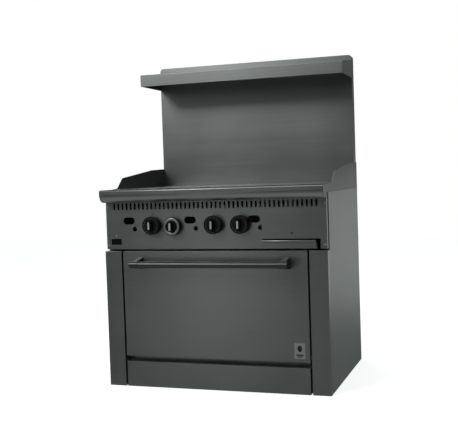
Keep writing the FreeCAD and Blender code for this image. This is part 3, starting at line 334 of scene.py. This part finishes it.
# grain: how often the polishing lines repeat along x, y and z, per metre
recipes = {
    "stainless": (brushedSteel, {"tone": (0.345, 0.365, 0.360), "contrast": 0.05, "roughness": 0.35,
                                 "grain": (7, 900, 1100), "smearScale": 3.0}),
    "stainless_sides": (brushedSteel, {"tone": (0.36, 0.385, 0.38), "contrast": 0.04, "roughness": 0.42,
                                       "grain": (900, 7, 1100), "smearScale": 3.0}),
    # painted shade: the splashes are the same stainless steel as the front, given a darker tone that stands
    # in for the shade they stand in
    "stainless_splash": (brushedSteel, {"tone": (0.21, 0.222, 0.220), "contrast": 0.05, "roughness": 0.42,
                                        "grain": (900, 7, 1000), "smearScale": 3.0}),
    # painted shade: the handle is the same stainless steel, given a far darker tone so the bar looks as dim
    # as it does under this light
    "handle_steel": (brushedSteel, {"tone": (0.095, 0.10, 0.10), "contrast": 0.04, "roughness": 0.36,
                                    "grain": (1400, 60, 60), "smearScale": 3.0}),
    "griddle_steel": (brushedSteel, {"tone": (0.30, 0.30, 0.295), "contrast": 0.08, "roughness": 0.30,
                                     "grain": (600, 9, 600), "smearScale": 6.0}),
    "galvanised": (galvanised, {"tone": (0.40, 0.415, 0.42), "shade": (0.86, 1.1), "spangleScale": 70.0,
                                "smearScale": 5.0, "flakeShare": 0.7, "smearShare": 0.3, "roughness": 0.36,
                                "flakeRough": 0.12, "smearRough": 0.1, "depth": 0.00003, "strength": 0.4}),
    "oven_enamel": (ovenEnamel, {"tones": ((0.020, 0.023, 0.030), (0.030, 0.034, 0.043)),
                                 "speck": (0.42, 0.44, 0.47), "speckScale": 420.0,
                                 "speckEdge": ((0.13, 0), (0.20, 1)), "rippleScale": 45.0, "cloudScale": 4.0,
                                 "ior": 1.52, "roughness": 0.16, "rippleRough": 0.10, "depth": 0.0002,
                                 "strength": 0.25}),
    "rack_chrome": (platedSteel, {"tone": (0.56, 0.57, 0.58), "roughness": 0.20}),
    "burner_iron": (patchyMetal, {"metallic": 0.35, "patches": {"scale": 14.0},
                                  "skin": {"scale": 700.0, "detail": 5.0, "rough": 0.7},
                                  "tones": ((0.045, 0.043, 0.041), (0.085, 0.078, 0.070)),
                                  "roughness": 0.62, "patchRough": 0.2, "depth": 0.0003, "strength": 0.7}),
    "black_pipe": (patchyMetal, {"metallic": 0.2, "patches": {"scale": 35.0, "detail": 5.0},
                                 "skin": {"scale": 400.0},
                                 "tones": ((0.014, 0.014, 0.015), (0.040, 0.038, 0.036)),
                                 "roughness": 0.34, "patchRough": 0.28, "depth": 0.0001, "strength": 0.4}),
    "valve_brass": (patchyMetal, {"metallic": 1.0, "patches": {"scale": 30.0},
                                  "skin": {"scale": 1.0, "stretch": (120, 1600, 120), "detail": 2.0},
                                  "tones": ((0.46, 0.31, 0.10), (0.66, 0.49, 0.20)),
                                  "roughness": 0.24, "patchRough": 0.18, "depth": 0.00003, "strength": 0.4}),
    "control_metal": (castMetal, {"skinScale": 500.0, "patchScale": 20.0,
                                  "tones": ((0.36, 0.37, 0.38), (0.48, 0.49, 0.50)),
                                  "roughness": 0.42, "skinRough": 0.2, "depth": 0.0002, "strength": 0.5}),
    "tube_aluminium": (platedSteel, {"tone": (0.56, 0.57, 0.58), "roughness": 0.34}),
    "insulation": (mineralWool, {"tufts": {"scale": 60.0, "detail": 8.0, "rough": 0.75},
                                 "strands": {"scale": 1.0, "stretch": (900, 60, 900), "detail": 6.0,
                                             "rough": 0.8},
                                 "tuftEdge": ((0.3, 0), (0.7, 1)), "tuftShare": 0.6, "strandShare": 0.4,
                                 "tones": ((0.42, 0.36, 0.20), (0.72, 0.66, 0.44)),
                                 "depth": 0.003, "strength": 0.9}),
    "gasket": (wovenSeal, {"roughness": 0.92, "lean": 0.7854, "braidScale": 110.0, "fuzzScale": 500.0,
                           "tones": ((0.10, 0.10, 0.095), (0.34, 0.33, 0.30)),
                           "depth": 0.0008, "strength": 0.8}),
    "plated_steel": (platedSteel, {"tone": (0.52, 0.53, 0.54), "roughness": 0.28}),
    "knob_black": (mouldedPlastic, {"tone": (0.005, 0.0053, 0.0055), "roughness": 0.46}),
    "ring_chrome": (platedSteel, {"tone": (0.42, 0.44, 0.44), "roughness": 0.36}),
    "switch_black": (mouldedPlastic, {"tone": (0.004, 0.004, 0.004), "roughness": 0.42}),
    "badge": (platedSteel, {"tone": (0.66, 0.68, 0.68), "roughness": 0.40}),
    "whitePaint": (paintedMark, {"tone": (0.60, 0.61, 0.60)}),
    "greyPaint": (paintedMark, {"tone": (0.22, 0.225, 0.225)}),
    "darkPaint": (paintedMark, {"tone": (0.012, 0.012, 0.012)}),
}
finishes = {name: build(name, look) for name, (build, look) in recipes.items()}
for part in frame["record"]["subparts"]:
    mesh = nodes[part["node"]].data
    mesh.materials.clear()
    mesh.materials.append(finishes[part["material_slot"]].material)
print("finishes made:", len(finishes))

# sheet edges are rounded where their bends and cut edges catch the light
edges = {
    "width": 0.0007,
    "segments": 2,
    "angle": 40,
    "weld": 0.00002,
    "sheets": ("stile_left", "stile_right", "kick_plate", "control_panel", "front_rail", "riser_front",
               "shelf", "shelf_ends", "door_outer", "grease_drawer", "side_panel_left",
               "side_panel_right", "side_splash_left", "side_splash_right", "grease_trough",
               "rear_panel", "riser_back", "griddle_plate", "badge_plate", "switch_housing",
               "switch_rocker", "oven_front_frame"),
}


def roundEdges(piece):
    weld = piece.modifiers.new("weld", "WELD")
    weld.merge_threshold = edges["weld"]
    bevel = piece.modifiers.new("roundEdges", "BEVEL")
    bevel.width = edges["width"]
    bevel.segments = edges["segments"]
    bevel.limit_method = "ANGLE"
    bevel.angle_limit = math.radians(edges["angle"])
    bevel.harden_normals = True


for name in edges["sheets"]:
    roundEdges(nodes[name])
print("edges rounded:", len(edges["sheets"]))


def makePiece(name, shape, finish, body, smooth=True):
    # a bmesh becomes a piece that rides on a body
    bmesh.ops.recalc_face_normals(shape, faces=shape.faces)
    mesh = bpy.data.meshes.new(name)
    shape.to_mesh(mesh)
    shape.free()
    piece = bpy.data.objects.new(name, mesh)
    scene.collection.objects.link(piece)
    mesh.materials.append(finishes[finish].material)
    for face in mesh.polygons:
        face.use_smooth = smooth
    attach(piece, body)
    return piece


def boxMiddle(low, high):
    return (low.x + high.x) / 2, (low.z + high.z) / 2


def bridge(shape, first, second):
    # faces between two closed rows of corners
    for index in range(len(first)):
        after = (index + 1) % len(first)
        shape.faces.new((first[index], first[after], second[after], second[index]))


def sweepProfile(shape, profile, steps, spot, wobble=None):
    # turns (radius, depth) pairs about the line through spot along Y; depth counts forward, to -Y
    rings = []
    for row, (radius, depth) in enumerate(profile):
        ring = []
        for step in range(steps):
            angle = 2 * math.pi * step / steps
            reach = radius * (wobble(row, angle) if wobble else 1)
            x, z = spot[0] + reach * math.cos(angle), spot[2] + reach * math.sin(angle)
            ring.append(shape.verts.new((x, spot[1] - depth, z)))
        rings.append(ring)
    for inner, outer in zip(rings, rings[1:]):
        bridge(shape, inner, outer)
    return rings


def closeTile(shape, near, far):
    # a tile's front, back and rim
    shape.faces.new(near)
    shape.faces.new(reversed(far))
    for index in range(len(near)):
        after = (index + 1) % len(near)
        shape.faces.new((near[index], far[index], far[after], near[after]))


def slab(shape, corners, back, front):
    # a flat tile with the given (x, z) corners, from y = back forward to y = front
    near = [shape.verts.new((x, front, z)) for x, z in corners]
    far = [shape.verts.new((x, back, z)) for x, z in corners]
    closeTile(shape, near, far)


def roundedTile(centre, size, radius, steps=5):
    # (x, z) corners of a tile with rounded corners
    corners = []
    for quarter, (dx, dz) in enumerate(((1, 1), (-1, 1), (-1, -1), (1, -1))):
        middle = (centre[0] + dx * (size[0] / 2 - radius), centre[1] + dz * (size[1] / 2 - radius))
        for step in range(steps + 1):
            angle = math.pi / 2 * (quarter + step / steps)
            corners.append((middle[0] + radius * math.cos(angle), middle[1] + radius * math.sin(angle)))
    return corners


def tickMarks(centre, marks, reach, back, front):
    # short lines around a dial; reach gives where long and short ones start and where all end
    shape = bmesh.new()
    long, short, end = reach
    wide = marks["width"] / 2
    for index in range(marks["count"]):
        angle = math.radians(90 + marks["sweep"] * (index / (marks["count"] - 1) - 0.5))
        ahead = (math.cos(angle), math.sin(angle))
        start = long if index % marks["longEvery"] == 0 else short
        corners = []
        for far, side in ((start, -wide), (end, -wide), (end, wide), (start, wide)):
            corners.append((centre[0] + far * ahead[0] - side * ahead[1],
                            centre[1] + far * ahead[1] + side * ahead[0]))
        slab(shape, corners, back, front)
    return shape


knob = {
    "names": ("left", "oven", "middle", "right"),
    "bore": 0.013,
    # (drawn in from the radius, forward of the back)
    "skirt": ((0.0050, 0.0), (0.0006, 0.0), (0.0, 0.0006), (0.0, 0.0030), (0.0005, 0.0042),
              (0.0006, 0.0070)),
    # (drawn in from the radius, behind the dial's front)
    "rim": ((0.0006, 0.0060), (0.0005, 0.0036), (0.0, 0.0028), (0.0, 0.0016), (0.0005, 0.0006),
            (0.0018, 0.0), (0.0040, 0.0003), (0.0048, 0.0008)),
    # (radius, behind the dial's front)
    "face": ((0.0240, 0.0009), (0.0120, 0.0008), (0.0005, 0.0008)),
    "flutes": 24,
    "fluteDepth": 0.030,       # share of the radius
    "fluteRows": (5, 8),       # first and last row of the profile that has flutes
    "ticks": {"count": 25, "sweep": 300, "width": 0.0014, "longEvery": 6},
    "tickReach": (0.0262, 0.0276, 0.0300),
    "tickSunk": 0.0006,
    "tickRise": 0.0002,
    "dialDip": 0.0008,
    "dialRise": 0.020,         # grip's front beyond the dial's front
    "gripFoot": (0.0185, 0.0415),
    "gripTip": (0.0115, 0.0350),
    "gripCorner": 0.0048,
    "gripEdge": 0.0004,
    # (share of the taper, share of the rise, how far the sides draw in)
    "gripRows": ((0.0, -0.075, 0), (0.04, -0.075, 0), (0.30, 0.25, 0), (0.65, 0.62, 0),
                 (0.86, 0.84, 0.0003), (0.95, 0.93, 0.0010), (0.985, 0.975, 0.0020), (1.0, 0.995, 0.0034)),
    "pointer": (0.0072, 0.0285),
    "pointerCorner": 0.0012,
    "pointerSunk": 0.001,
    "pointerRise": 0.0003,
}


def gripShape(shape, spot, face):
    # a grip with rounded sides and a crowned front, standing across the dial
    rings = []
    for share, height, pull in knob["gripRows"]:
        size = [foot + (tip - foot) * share - 2 * pull
                for foot, tip in zip(knob["gripFoot"], knob["gripTip"])]
        depth = face - knob["dialRise"] * height
        corner = min(knob["gripCorner"], size[0] / 2 - knob["gripEdge"])
        outline = roundedTile((spot[0], spot[2]), size, corner, 6)
        rings.append([shape.verts.new((x, depth, z)) for x, z in outline])
    for first, second in zip(rings, rings[1:]):
        bridge(shape, first, second)
    shape.faces.new(rings[0])
    shape.faces.new(rings[-1])


def knobPiece(name):
    low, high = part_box("knob_" + name)
    radius = (high.x - low.x) / 2
    length = high.y - low.y - knob["dialRise"]
    centre = boxMiddle(low, high)
    spot = (centre[0], high.y, centre[1])
    dial = spot[1] - length
    body = name + "_control"
    profile = [(knob["bore"], 0.0)]
    profile += [(radius - inset, depth) for inset, depth in knob["skirt"]]
    profile += [(radius - inset, length - depth) for inset, depth in knob["rim"]]
    profile += [(reach, length - depth) for reach, depth in knob["face"]]
    firstRow, lastRow = knob["fluteRows"]

    def wobble(row, angle):
        if not firstRow <= row <= lastRow:
            return 1
        depth = knob["fluteDepth"] * (0.5 if row in (firstRow, lastRow) else 1)
        return 1 - depth * max(0, math.cos(knob["flutes"] * angle)) ** 3

    shape = bmesh.new()
    rings = sweepProfile(shape, profile, knob["flutes"] * 10, spot, wobble)
    shape.faces.new(rings[0])
    shape.faces.new(rings[-1])
    gripShape(shape, spot, dial)
    piece = makePiece("knob_cap_" + name, shape, "knob_black", body)
    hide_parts("knob_" + name)
    pointer = bmesh.new()
    slab(pointer, roundedTile(centre, knob["pointer"], knob["pointerCorner"]), low.y + knob["pointerSunk"],
         low.y - knob["pointerRise"])
    makePiece("pointer_" + name, pointer, "whitePaint", body, smooth=False)
    if name != "oven":
        level = dial + knob["dialDip"]
        ticks = tickMarks(centre, knob["ticks"], knob["tickReach"], level + knob["tickSunk"],
                          level - knob["tickRise"])
        makePiece("ticks_" + name, ticks, "greyPaint", body, smooth=False)


for name in knob["names"]:
    knobPiece(name)
print("knobs made")

ring = {
    "width": 0.0100,
    "steps": 128,
    # (drawn in from the outer radius, behind the ring's front)
    "outerEdge": ((0.0, 0.0012), (0.0006, 0.0005), (0.0016, 0.0)),
    # (out from the inner radius, behind the ring's front)
    "innerEdge": ((0.0012, 0.0), (0.0003, 0.0005), (0.0, 0.0012)),
    "ticks": {"count": 28, "sweep": 290, "width": 0.0009, "longEvery": 3},
    "tickInsets": (0.0058, 0.0042, 0.0018),
    "tickSunk": 0.0006,
    "tickRise": 0.0001,
    "weld": 0.000001,
}


def dialRing():
    low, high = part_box("thermostat_ring")
    outer = (high.x - low.x) / 2
    inner = outer - ring["width"]
    depth = high.y - low.y
    centre = boxMiddle(low, high)
    profile = [(inner, 0.0), (outer, 0.0)]
    profile += [(outer - inset, depth - behind) for inset, behind in ring["outerEdge"]]
    profile += [(inner + inset, depth - behind) for inset, behind in ring["innerEdge"]]
    profile.append((inner, 0.0))
    shape = bmesh.new()
    sweepProfile(shape, profile, ring["steps"], (centre[0], high.y, centre[1]))
    bmesh.ops.remove_doubles(shape, verts=shape.verts, dist=ring["weld"])
    piece = makePiece("dial_ring", shape, "ring_chrome", "oven_control")
    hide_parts("thermostat_ring")
    ticks = tickMarks(centre, ring["ticks"], [outer - inset for inset in ring["tickInsets"]],
                      low.y + ring["tickSunk"], low.y - ring["tickRise"])
    makePiece("dial_ticks", ticks, "darkPaint", "oven_control", smooth=False)


dialRing()

dot = {"gap": 0.0095, "size": (0.0042, 0.0042), "corner": 0.0020, "sunk": 0.0002, "rise": 0.0001}


def indexMarks():
    # a small printed dot above each knob
    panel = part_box("control_panel")[0].y
    shape = bmesh.new()
    for name in knob["names"]:
        low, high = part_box("knob_" + name)
        place = (boxMiddle(low, high)[0], high.z + dot["gap"])
        slab(shape, roundedTile(place, dot["size"], dot["corner"]), panel + dot["sunk"], panel - dot["rise"])
    makePiece("index_marks", shape, "darkPaint", "cabinet", smooth=False)


indexMarks()

rocker = {
    "dash": (0.0090, 0.0026),
    "dashCorner": 0.0004,
    "ring": (0.0046, 0.0028),
    "ringSteps": 36,
    "spread": 0.0098,
    "rise": 0.00025,
    "tiny": 0.00001,
}


def rockerMarks():
    # a dash on one half and a circle on the other, on the rocker's two sloping faces
    corners = [corner.co for corner in nodes["switch_rocker"].data.vertices]
    middle = boxMiddle(*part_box("switch_housing"))[0]
    level = boxMiddle(*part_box("switch_rocker"))[1]

    def faceAt(x):
        # the rocker's front surface at this x
        front = {}
        for corner in corners:
            key = round(corner.x, 5)
            front[key] = min(front.get(key, corner.y), corner.y)
        spots = sorted(front.items())
        below = max((spot for spot in spots if spot[0] <= x), default=spots[0])
        above = min((spot for spot in spots if spot[0] > x), default=spots[-1])
        share = (x - below[0]) / max(above[0] - below[0], rocker["tiny"])
        return below[1] + (above[1] - below[1]) * share

    left, right = middle - rocker["spread"], middle + rocker["spread"]
    outlines = [roundedTile((left, level), rocker["dash"], rocker["dashCorner"])]
    outer, inner = rocker["ring"]
    for step in range(rocker["ringSteps"]):
        first, second = (2 * math.pi * (step + offset) / rocker["ringSteps"] for offset in (0, 1))
        outlines.append([(right + r * math.cos(t), level + r * math.sin(t))
                         for r, t in ((inner, first), (outer, first), (outer, second), (inner, second))])
    shape = bmesh.new()
    for outline in outlines:
        near, far = ([shape.verts.new((x, faceAt(x) - lift, z)) for x, z in outline]
                     for lift in (rocker["rise"], -rocker["rise"]))
        closeTile(shape, near, far)
    makePiece("rocker_marks", shape, "whitePaint", "rocker", smooth=False)


rockerMarks()

badge = {
    "border": 0.0024,
    "borderRise": 0.0004,
    "corners": (0.003, 0.002),     # the border's outside and inside
    "discRadius": 0.0125,
    "discSlim": 0.72,              # width as a share of height
    "discDrop": 0.36,              # share of the plate's height below its top
    "bars": ((0.028, 0.0052, 0.24), (0.018, 0.0036, 0.12)),    # width, height, share of the plate's height
    "barCorner": 0.3,
    "sunk": 0.0002,
    "printRise": 0.00015,
}


def badgeMark():
    low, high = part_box("badge_plate")
    face = low.y
    centre = boxMiddle(low, high)
    size = (high.x - low.x, high.z - low.z)
    inset = [side - 2 * badge["border"] for side in size]
    outside = roundedTile(centre, size, badge["corners"][0])
    inside = roundedTile(centre, inset, badge["corners"][1])
    front, back = face - badge["borderRise"], face + badge["sunk"]
    border = bmesh.new()
    rows = [[border.verts.new((x, y, z)) for x, z in edge]
            for y, edge in ((back, outside), (front, outside), (front, inside), (back, inside))]
    for first, second in zip(rows, rows[1:]):
        bridge(border, first, second)
    makePiece("badge_border", border, "badge", "door", smooth=False)
    mark = bmesh.new()
    level = low.z + size[1] * (1 - badge["discDrop"])
    radius = badge["discRadius"]
    turns = [math.radians(angle) for angle in range(0, 360, 6)]
    disc = [(centre[0] + radius * badge["discSlim"] * math.cos(turn), level + radius * math.sin(turn))
            for turn in turns]
    slab(mark, disc, face + badge["sunk"], face - badge["printRise"])
    for wide, tall, share in badge["bars"]:
        bar = roundedTile((centre[0], low.z + size[1] * share), (wide, tall), tall * badge["barCorner"])
        slab(mark, bar, face + badge["sunk"], face - badge["printRise"])
    makePiece("badge_mark", mark, "darkPaint", "door", smooth=False)


badgeMark()
print("marks made")


def addCamera():
    data = bpy.data.cameras.new("camera")
    data.lens = view["lens"]
    data.sensor_width = view["sensor"]
    eye = bpy.data.objects.new("camera", data)
    scene.collection.objects.link(eye)
    yaw, pitch, roll = (math.radians(view[key]) for key in ("yaw", "pitch", "roll"))
    ahead = Vector((math.sin(yaw) * math.cos(pitch), math.cos(yaw) * math.cos(pitch), math.sin(pitch)))
    level = Vector((math.cos(yaw), -math.sin(yaw), 0))
    above = level.cross(ahead)
    right = level * math.cos(roll) + above * math.sin(roll)
    up = above * math.cos(roll) - level * math.sin(roll)
    turn = Matrix((right, up, -ahead)).transposed().to_4x4()
    eye.matrix_world = Matrix.Translation(view["place"]) @ turn
    scene.camera = eye


def addLamps():
    for name, (place, target, size, watts) in lamps.items():
        data = bpy.data.lights.new(name, "AREA")
        data.shape = "RECTANGLE"
        data.size, data.size_y = size
        data.energy = watts
        lamp = bpy.data.objects.new(name, data)
        scene.collection.objects.link(lamp)
        lamp.location = place
        lamp.rotation_euler = (Vector(target) - Vector(place)).to_track_quat("-Z", "Y").to_euler()
        lamp.visible_camera = False


def addSky():
    # the room: white to the eye, and a dim even glow to the steel, brighter behind and to the right
    world = bpy.data.worlds.new("studio")
    scene.world = world
    world.use_nodes = True
    world.node_tree.nodes.clear()
    sky = Graph(world.node_tree)
    path = sky.node("ShaderNodeLightPath", output="Is Camera Ray")
    toward = sky.node("ShaderNodeTexCoord", output="Generated")

    def facing(way):
        # 1 where the ray goes this way, 0 where it goes opposite
        vectors = {0: toward, 1: way}
        return sky.node("ShaderNodeVectorMath", {"operation": "DOT_PRODUCT"}, vectors, "Value") * 0.5 + 0.5

    glow = sky.ramp(facing((0, 0, 1)), *studio["glow"])
    glow = glow + sky.ramp(facing(studio["backWay"]), *studio["backGlow"]) * studio["backLight"]
    white = sky.node("ShaderNodeBackground", {}, {"Color": (1, 1, 1), "Strength": 1.0})
    dim = sky.node("ShaderNodeBackground", {}, {"Color": studio["tone"], "Strength": glow})
    both = sky.node("ShaderNodeMixShader", {}, {0: path, 1: dim, 2: white})
    out = sky.tree.nodes.new("ShaderNodeOutputWorld")
    sky.put(out.inputs["Surface"], both)


def addFloor():
    # a pale floor, and a dark patch right under the cabinet: painted shade standing in for the floor's
    # shadow there, which also keeps light out of its open base
    half = studio["floorSize"] / 2
    low, high = cadBounds
    pale = Finish("floorPaint", roughness=0.9, emissionColor=(1, 1, 1), emissionStrength=studio["floorGlow"])
    pale.set(baseColor=studio["floorTone"], specularIorLevel=0.0)
    dark = Finish("shadePaint", roughness=1.0, baseColor=studio["shadeTone"])
    inset = studio["shadeInset"]
    front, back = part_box("kick_plate")[0].y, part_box("rear_panel")[1].y
    sheets = {
        "floor": (pale, (-half, half), (-half, half), low[2]),
        "shade": (dark, (low[0] + inset, high[0] - inset), (front + inset, back - inset),
                  low[2] + studio["shadeLift"]),
    }
    for name, (paint, xs, ys, z) in sheets.items():
        shape = bmesh.new()
        corners = ((xs[0], ys[0]), (xs[1], ys[0]), (xs[1], ys[1]), (xs[0], ys[1]))
        shape.faces.new([shape.verts.new((x, y, z)) for x, y in corners])
        mesh = bpy.data.meshes.new(name)
        shape.to_mesh(mesh)
        shape.free()
        sheet = bpy.data.objects.new(name, mesh)
        scene.collection.objects.link(sheet)
        mesh.materials.append(paint.material)
        if name == "floor":
            sheet.visible_glossy = False
            sheet.visible_diffuse = False
            sheet.visible_shadow = False


addCamera()
addLamps()
addSky()
addFloor()
scene.view_settings.view_transform = "Standard"
print("studio ready")
